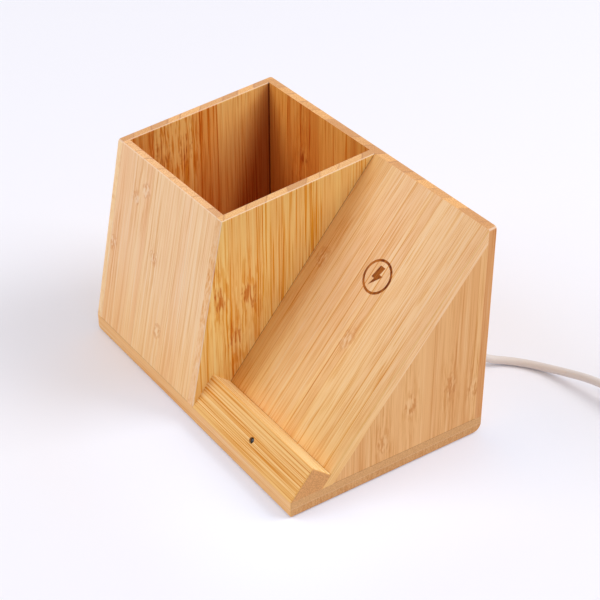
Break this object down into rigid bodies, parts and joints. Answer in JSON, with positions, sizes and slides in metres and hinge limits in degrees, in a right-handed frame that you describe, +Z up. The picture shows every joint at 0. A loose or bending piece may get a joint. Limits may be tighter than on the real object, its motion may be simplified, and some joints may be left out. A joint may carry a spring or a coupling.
{
  "type": "charging station organizer",
  "caption": "Bamboo desk organizer with an open pen box on one side and a sloping wireless charging panel with a phone ledge on the other, on one base board, with a supply cord.",
  "frame": {"origin": "on the table, under the middle of the base board", "axes": "+Z up, +X to the right along the front edge, +Y from the front to the back panel"},
  "size_m": [0.2492, 0.2431, 0.1154],
  "materials": {
    "bamboo": "laminated bamboo, sanded and oiled to a satin",
    "pad_rubber": "matt",
    "copper_wire": "enamelled copper winding",
    "ferrite": "sintered, matt",
    "tape": "adhesive film",
    "circuit_board": "solder mask",
    "chip_plastic": "moulded epoxy",
    "capacitor_ceramic": "ceramic",
    "nylon": "moulded nylon",
    "steel": "nickel plated",
    "lamp_epoxy": "clear smoked epoxy, unlit",
    "wire_jacket": "thin insulated wire",
    "cord_jacket": "soft satin jacket",
    "tie_strap": "hook and loop strap",
    "contact_carrier": "moulded"
  },
  "bodies": {
    "root": {"base_board": "bamboo", "back_panel": "bamboo", "left_side": "bamboo", "divider": "bamboo", "pen_box_front": "bamboo", "charging_panel": "bamboo", "right_side": "bamboo", "phone_ledge": "bamboo", "base_pads": "pad_rubber", "transmitter_coil": "copper_wire", "coil_shield": "ferrite", "board_inductor": "ferrite", "coil_tape": "tape", "charger_board": "circuit_board", "board_chips": "chip_plastic", "board_capacitors": "capacitor_ceramic", "board_standoffs": "nylon", "cord_stop": "nylon", "board_screws": "steel", "plug_shell": "steel", "indicator_led": "lamp_epoxy", "led_leads": "wire_jacket", "coil_leads": "wire_jacket", "supply_wires": "wire_jacket", "cord_lead": "cord_jacket", "cord_coil": "cord_jacket", "cord_tail": "cord_jacket", "cord_inner": "cord_jacket", "cord_bushing": "cord_jacket", "plug_grip": "cord_jacket", "cord_tie": "tie_strap", "plug_tongue": "contact_carrier"}
  },
  "joints": []
}
